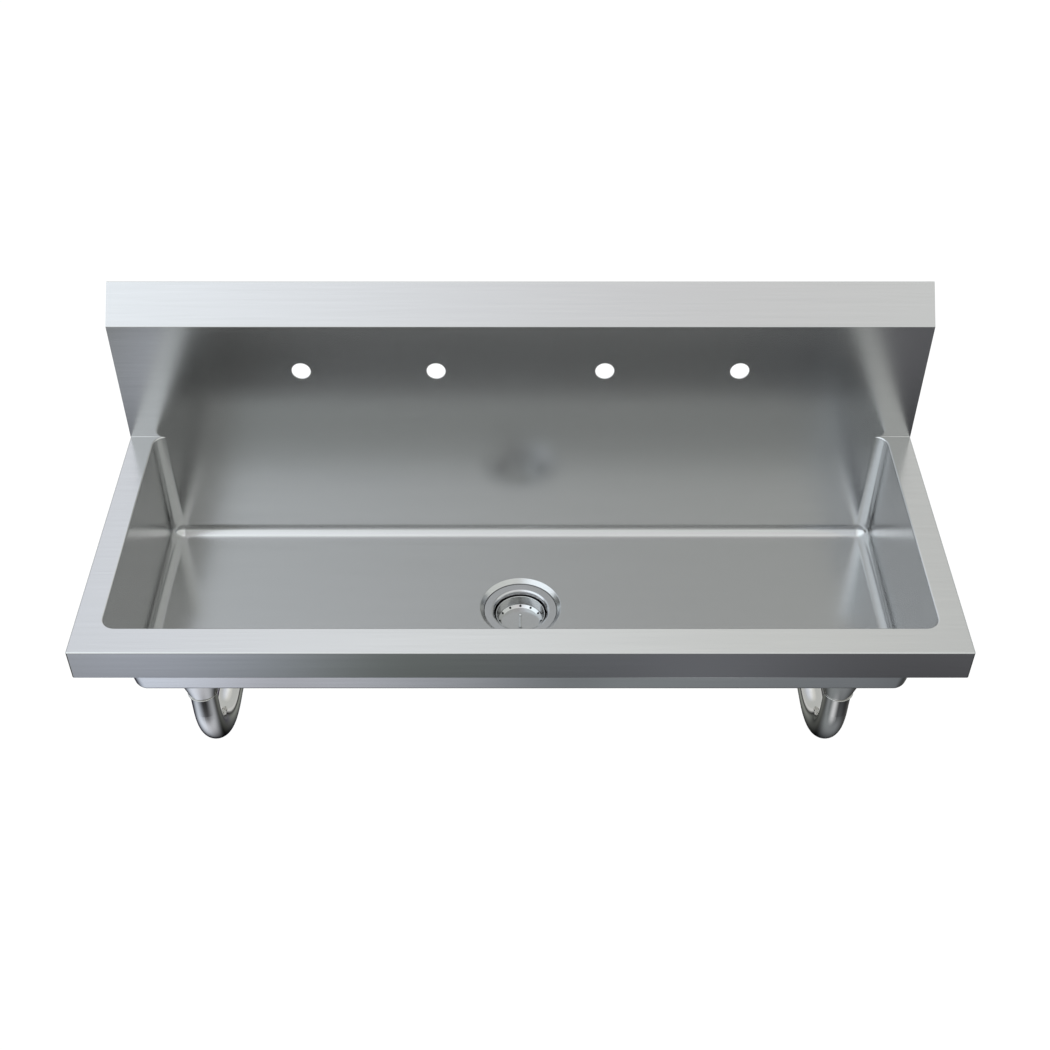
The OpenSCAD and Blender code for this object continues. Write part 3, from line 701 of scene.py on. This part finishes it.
def brushed(name, dark, light, rough):
    """Brushed sheet. The grain runs along X, and along Y on faces that look along X."""
    mat, nodes, links, shader = new_material(name)
    coords = nodes.new("ShaderNodeTexCoord").outputs["Object"]
    split = nodes.new("ShaderNodeSeparateXYZ")
    links.new(coords, split.inputs[0])
    across = maths(nodes, links, "ADD", split.outputs["Y"], split.outputs["Z"])
    normal = nodes.new("ShaderNodeSeparateXYZ")
    links.new(nodes.new("ShaderNodeNewGeometry").outputs["Normal"], normal.inputs[0])
    turned = maths(nodes, links, "ABSOLUTE", normal.outputs["X"], 0.0)
    turned = maths(nodes, links, "GREATER_THAN", turned, LOOKS_ALONG_X)
    grains = []
    for along, over in ((split.outputs["X"], across), (split.outputs["Y"], split.outputs["Z"])):
        join = nodes.new("ShaderNodeCombineXYZ")
        links.new(along, join.inputs["X"])
        links.new(over, join.inputs["Y"])
        fine = noise(nodes, links, join.outputs[0], GRAIN, detail=2.0)
        broad = noise(nodes, links, join.outputs[0], BROAD_GRAIN, detail=3.0)
        grains.append((fine, broad))
    mixed = []
    for along_x, along_y in zip(*grains):
        mix = nodes.new("ShaderNodeMix")
        links.new(turned, mix.inputs["Factor"])
        links.new(along_x, mix.inputs["A"])
        links.new(along_y, mix.inputs["B"])
        mixed.append(mix.outputs["Result"])
    fine, broad = [maths(nodes, links, "MULTIPLY", grain, share)
                   for grain, share in zip(mixed, (GRAIN_SHARE, BROAD_SHARE))]
    total = maths(nodes, links, "ADD", fine, broad)
    links.new(tint(nodes, links, total, dark, light), shader.inputs["Base Color"])
    shader.inputs["Metallic"].default_value = 1.0
    roughness = spread(nodes, links, total, rough + METAL_SWING, rough - METAL_SWING)
    links.new(roughness, shader.inputs["Roughness"])
    bumpy(nodes, links, shader, mixed[0], METAL_BUMP, METAL_DEPTH)
    return mat


def polished(name, dark, light, rough, turned=0.0):
    """Smooth metal with faint smears, and fine rings if it was turned on a lathe."""
    mat, nodes, links, shader = new_material(name)
    coords = nodes.new("ShaderNodeTexCoord").outputs["Object"]
    smear = noise(nodes, links, coords, EVEN, detail=4.0, scale=SMEARS)
    links.new(tint(nodes, links, smear, dark, light), shader.inputs["Base Color"])
    roughness = spread(nodes, links, smear, rough - METAL_SWING, rough + SMEAR_SWING)
    links.new(roughness, shader.inputs["Roughness"])
    shader.inputs["Metallic"].default_value = 1.0
    rings = noise(nodes, links, coords, RINGS, detail=1.0)
    bumpy(nodes, links, shader, rings, METAL_BUMP + turned, METAL_DEPTH)
    return mat


def matte(name, dark, light, rough, grain, depth):
    """Rubber or card: a grainy surface with little gloss."""
    mat, nodes, links, shader = new_material(name)
    coords = nodes.new("ShaderNodeTexCoord").outputs["Object"]
    broad = noise(nodes, links, coords, EVEN, detail=5.0, scale=grain / PATCHES)
    fine = noise(nodes, links, coords, EVEN, detail=4.0, scale=grain)
    links.new(tint(nodes, links, broad, dark, light), shader.inputs["Base Color"])
    roughness = spread(nodes, links, fine, rough - MATTE_SWING, rough + MATTE_SWING)
    links.new(roughness, shader.inputs["Roughness"])
    bumpy(nodes, links, shader, fine, MATTE_BUMP, depth)
    return mat


def painted_cup_shade(mat):
    """Paints shade into the inside of the strainer cup, darker from the basket's holes down."""
    nodes, links = mat.node_tree.nodes, mat.node_tree.links
    shader = nodes["Principled BSDF"]
    place = nodes.new("ShaderNodeSeparateXYZ")
    links.new(nodes.new("ShaderNodeTexCoord").outputs["Object"], place.inputs[0])
    depth = nodes.new("ShaderNodeMapRange")
    depth.inputs["From Min"].default_value = CUP_BRIGHT_Z * MM
    depth.inputs["From Max"].default_value = CUP_DARK_Z * MM
    links.new(place.outputs["Z"], depth.inputs["Value"])
    level = nodes.new("ShaderNodeCombineXYZ")
    links.new(place.outputs["X"], level.inputs["X"])
    links.new(place.outputs["Y"], level.inputs["Y"])
    reach = nodes.new("ShaderNodeVectorMath")
    reach.operation = "DISTANCE"
    links.new(level.outputs[0], reach.inputs[0])
    reach.inputs[1].default_value = (0, DRAIN_Y * MM, 0)
    near = maths(nodes, links, "LESS_THAN", reach.outputs["Value"], CUP_INSIDE_R * MM)
    above = maths(nodes, links, "GREATER_THAN", place.outputs["Z"], CUP_LOW_Z * MM)
    in_cup = maths(nodes, links, "MULTIPLY", near, above)
    mix = nodes.new("ShaderNodeMix")
    mix.data_type = "RGBA"
    links.new(maths(nodes, links, "MULTIPLY", in_cup, depth.outputs[0]), mix.inputs["Factor"])
    links.new(shader.inputs["Base Color"].links[0].from_socket, mix.inputs[MIX_A])
    mix.inputs[MIX_B].default_value = CUP_SHADE
    links.new(mix.outputs[MIXED], shader.inputs["Base Color"])
    return mat


MATERIALS = {
    "brushed_sheet": brushed("brushed_sheet", (0.51, 0.51, 0.51), (0.55, 0.55, 0.55), 0.2),
    "bracket_steel": polished("bracket_steel", (0.56, 0.55, 0.53), (0.62, 0.61, 0.59), 0.08),
    "screw_steel": polished("screw_steel", (0.03, 0.03, 0.032), (0.07, 0.07, 0.072), 0.4, 0.1),
    # The strainer's steel, with shade painted inside its cup
    "strainer_steel": painted_cup_shade(
        polished("strainer_steel", (0.50, 0.50, 0.51), (0.55, 0.55, 0.56), 0.16, 0.1)),
    "basket_steel": polished("basket_steel", (0.51, 0.51, 0.51), (0.56, 0.56, 0.56), 0.14, 0.05),
    "nut_metal": polished("nut_metal", (0.50, 0.46, 0.38), (0.60, 0.56, 0.48), 0.3, 0.1),
    "black_rubber": matte(
        "black_rubber", (0.012, 0.012, 0.013), (0.03, 0.03, 0.031), 0.6, 900, 0.0001),
    "washer_card": matte(
        "washer_card", (0.34, 0.25, 0.15), (0.48, 0.38, 0.25), 0.85, 1500, 0.0002),
}


def finish_with(obj, slot):
    """Gives an object the material of a slot and no other."""
    obj.data.materials.clear()
    obj.data.materials.append(MATERIALS[slot])


# ---- pieces ----

SKINS = {"bowl": bowl(), "rim_deck": rim_deck(), "backsplash": splash()}
for node, piece in SKINS.items():
    finish_with(piece, "brushed_sheet")
    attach(piece, "sink")
    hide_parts(node)

TURNED = (
    (basket(), "basket", "strainer_basket", "basket_steel"),
    (gusset(-1), "sink", "gusset_left", "bracket_steel"),
    (gusset(1), "sink", "gusset_right", "bracket_steel"),
)
for piece, body, node, slot in TURNED:
    finish_with(piece, slot)
    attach(piece, body)
    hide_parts(node)

NODE_SLOTS = {
    "brushed_sheet": ("bowl", "rim_deck", "backsplash", "splash_end_left", "splash_end_right",
                      "wall_rail", "gusset_plate_left", "gusset_plate_right"),
    "bracket_steel": ("gusset_left", "gusset_right", "bracket_tube_left", "bracket_tube_right",
                      "wall_flange_left", "wall_flange_right"),
    "screw_steel": ("gusset_set_screws", "flange_set_screws"),
    "strainer_steel": ("strainer_body", "tailpiece"),
    "basket_steel": ("strainer_basket", "basket_post", "stopper_washer"),
    "nut_metal": ("locknut", "coupling_nut"),
    "black_rubber": ("flange_seal", "rubber_washer", "tailpiece_washer", "basket_stopper"),
    "washer_card": ("friction_washer",),
}
for slot, names in NODE_SLOTS.items():
    for node in names:
        finish_with(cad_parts[node], slot)


# ---- light, floor and camera ----

def emptied(data):
    """The nodes and links of a world or material, with its own first nodes taken out."""
    data.use_nodes = True
    data.node_tree.nodes.clear()
    return data.node_tree.nodes, data.node_tree.links


def plain_colour(nodes, colour):
    """A socket that gives one colour."""
    node = nodes.new("ShaderNodeRGB")
    node.outputs[0].default_value = (*colour, 1)
    return node.outputs[0]


def surface(nodes, kind, colour):
    """A shader node of one colour."""
    node = nodes.new(kind)
    node.inputs["Color"].default_value = (*colour, 1)
    return node


def blend(nodes, links, factor, first, second):
    """Mixes two shaders. A factor of 0 gives the first and 1 the second."""
    mix = nodes.new("ShaderNodeMixShader")
    feed(links, factor, mix.inputs[0])
    links.new(first, mix.inputs[1])
    links.new(second, mix.inputs[2])
    return mix.outputs[0]


def add_glow(nodes, links, total, fade, colour):
    """Adds a colour, scaled by a fade from 0 to 1, to the light so far."""
    scaled = nodes.new("ShaderNodeVectorMath")
    scaled.operation = "SCALE"
    scaled.inputs[0].default_value = colour
    links.new(fade, scaled.inputs["Scale"])
    added = nodes.new("ShaderNodeVectorMath")
    added.operation = "ADD"
    links.new(total, added.inputs[0])
    links.new(scaled.outputs[0], added.inputs[1])
    return added.outputs[0]


def fade_out(nodes, links, kind, source, point, gone, full):
    """Measures a direction or place against a point: 0 at the measure gone, 1 at full."""
    measure = nodes.new("ShaderNodeVectorMath")
    measure.operation = kind
    links.new(source, measure.inputs[0])
    measure.inputs[1].default_value = point
    fade = nodes.new("ShaderNodeMapRange")
    fade.interpolation_type = "SMOOTHSTEP"
    fade.inputs["From Min"].default_value = gone
    fade.inputs["From Max"].default_value = full
    links.new(measure.outputs["Value"], fade.inputs["Value"])
    return fade.outputs["Result"]


# Where each soft box is, the cosine at which it's gone, and its colour
SOFT_BOXES = (
    ((-0.75, -0.35, 0.55), 0.50, (0.848, 0.950, 1.055)),
    ((0.75, -0.35, 0.55), 0.50, (0.247, 0.262, 0.235)),
    ((0.00, -0.30, 0.95), 0.85, (0.165, 0.122, 0.150)),
    ((0.00, 0.20, 0.98), 0.80, (0.301, 0.336, 0.308)),
    ((-0.60, 0.50, 0.62), 0.80, (0.035, 0.043, 0.105)),
    ((-0.30, 0.66, 0.69), 0.88, (0.209, 0.233, 0.294)),
    ((0.00, 0.70, 0.72), 0.88, (0.251, 0.236, 0.217)),
    ((-0.50, 0.00, 0.86), 0.80, (0.143, 0.198, 0.192)),
    ((0.00, -1.00, 0.10), 0.50, (0.282, 0.292, 0.280)),
)
STUDIO = (0.738, 0.761, 0.753)
WHITE, BLACK = (1, 1, 1), (0, 0, 0)

# The camera sees a white backdrop, and every other ray meets the soft boxes
world = bpy.data.worlds.new("studio")
bpy.context.scene.world = world
nodes, links = emptied(world)
way = nodes.new("ShaderNodeTexCoord").outputs["Generated"]
light = plain_colour(nodes, STUDIO)
for towards, gone, colour in SOFT_BOXES:
    fade = fade_out(nodes, links, "DOT_PRODUCT", way, Vector(towards).normalized(), gone, 1.0)
    light = add_glow(nodes, links, light, fade, colour)
soft = nodes.new("ShaderNodeBackground")
links.new(light, soft.inputs["Color"])
white = surface(nodes, "ShaderNodeBackground", WHITE)
rays = nodes.new("ShaderNodeLightPath").outputs
backdrop = blend(nodes, links, rays["Is Camera Ray"], soft.outputs[0], white.outputs[0])
output = nodes.new("ShaderNodeOutputWorld")
links.new(backdrop, output.inputs["Surface"])

FLOOR_REACH, FLOOR_LEVEL = 9.0, -0.95
floor_mesh = bpy.data.meshes.new("floor")
floor_mesh.from_pydata([(x * FLOOR_REACH, y * FLOOR_REACH, FLOOR_LEVEL)
                        for x, y in ((-1, -1), (1, -1), (1, 1), (-1, 1))], [], [(0, 1, 2, 3)])
floor = bpy.data.objects.new("floor", floor_mesh)
bpy.context.scene.collection.objects.link(floor)

# Pools of light on the floor as the metal shows them: place, radius and colour
POOLS = (
    ((-1.50, -1.30), 1.00, (0.226, 0.231, 0.181)),
    ((-0.80, -1.30), 0.60, (0.656, 0.701, 0.811)),
    ((-0.30, -1.30), 0.60, (0.265, 0.294, 0.285)),
    ((0.30, -1.30), 0.60, (0.230, 0.239, 0.262)),
    ((1.00, -1.40), 0.80, (0.194, 0.196, 0.209)),
    ((-0.80, -0.50), 0.40, (0.936, 1.018, 1.169)),
    ((-0.50, -0.50), 0.35, (0.625, 0.640, 0.700)),
    ((-0.20, -0.50), 0.35, (0.570, 0.596, 0.646)),
    ((0.20, -0.50), 0.40, (0.332, 0.360, 0.376)),
    ((0.60, -0.50), 0.40, (0.288, 0.307, 0.327)),
    ((-0.80, 0.30), 0.60, (0.160, 0.141, 0.225)),
    ((0.00, 0.20), 0.60, (0.374, 0.394, 0.371)),
    ((1.10, 0.10), 0.70, (0.200, 0.200, 0.200)),
    ((0.36, -0.79), 0.30, (0.900, 0.920, 0.960)),
)

# Further out, where only the other views see it, the metal shows a pale floor. Each fade is a
# direction and how far out that way the pale floor starts and is full.
FAR_FLOOR = (0.85, 0.86, 0.86)
FAR_FADES = (((1, 0, 0), 1.4, 2.2), ((-1, 0, 0), 1.4, 2.2),
             ((0, 1, 0), 0.5, 1.7), ((0, -1, 0), 1.9, 2.7))
GLOW_STRENGTH, GLOW_SHARE = 1.05, 0.9
PALE, GREY = (0.8, 0.8, 0.8), (0.3, 0.3, 0.3)

floor_look = bpy.data.materials.new("floor")
nodes, links = emptied(floor_look)
place = nodes.new("ShaderNodeTexCoord").outputs["Object"]
far = 0.0
for towards, gone, full in FAR_FADES:
    fade = fade_out(nodes, links, "DOT_PRODUCT", place, towards, gone, full)
    far = maths(nodes, links, "MAXIMUM", far, fade)
light = add_glow(nodes, links, plain_colour(nodes, BLACK), far, FAR_FLOOR)
for (x, y), radius, colour in POOLS:
    fade = fade_out(nodes, links, "DISTANCE", place, (x, y, FLOOR_LEVEL), radius, 0.0)
    light = add_glow(nodes, links, light, fade, colour)
pools = nodes.new("ShaderNodeEmission")
links.new(light, pools.inputs["Color"])
pale = surface(nodes, "ShaderNodeBsdfDiffuse", PALE)
glow = surface(nodes, "ShaderNodeEmission", WHITE)
glow.inputs["Strength"].default_value = GLOW_STRENGTH
lit = blend(nodes, links, GLOW_SHARE, pale.outputs[0], glow.outputs[0])
grey = surface(nodes, "ShaderNodeBsdfDiffuse", GREY)
clear = nodes.new("ShaderNodeBsdfTransparent")

# Rays reflected in the metal meet the pools, the camera sees the lit floor, straight or through
# something clear, and looks through it from below. All other rays meet plain grey.
rays = nodes.new("ShaderNodeLightPath").outputs
seen = maths(nodes, links, "MAXIMUM", rays["Is Camera Ray"], rays["Is Transmission Ray"])
below = nodes.new("ShaderNodeNewGeometry").outputs["Backfacing"]
below = maths(nodes, links, "MULTIPLY", below, rays["Is Camera Ray"])
met = blend(nodes, links, rays["Is Glossy Ray"], grey.outputs[0], pools.outputs[0])
met = blend(nodes, links, seen, met, lit)
met = blend(nodes, links, below, met, clear.outputs[0])
output = nodes.new("ShaderNodeOutputMaterial")
links.new(met, output.inputs["Surface"])
floor_mesh.materials.append(floor_look)

CAMERA_PLACE = (0, -1.8492, 1.2618)
LOOKS_DOWN = 0.7464                  # radians below level
LENS, SENSOR = 50.75, 36
SHIFT_X, SHIFT_Y = 0.00435, 0.00457

camera = bpy.data.objects.new("camera", bpy.data.cameras.new("camera"))
bpy.context.scene.collection.objects.link(camera)
camera.location = CAMERA_PLACE
camera.rotation_euler = (math.radians(90) - LOOKS_DOWN, 0, 0)
camera.data.lens = LENS
camera.data.sensor_width = SENSOR
camera.data.shift_x = SHIFT_X
camera.data.shift_y = SHIFT_Y
bpy.context.scene.camera = camera
bpy.context.scene.view_settings.view_transform = "Standard"
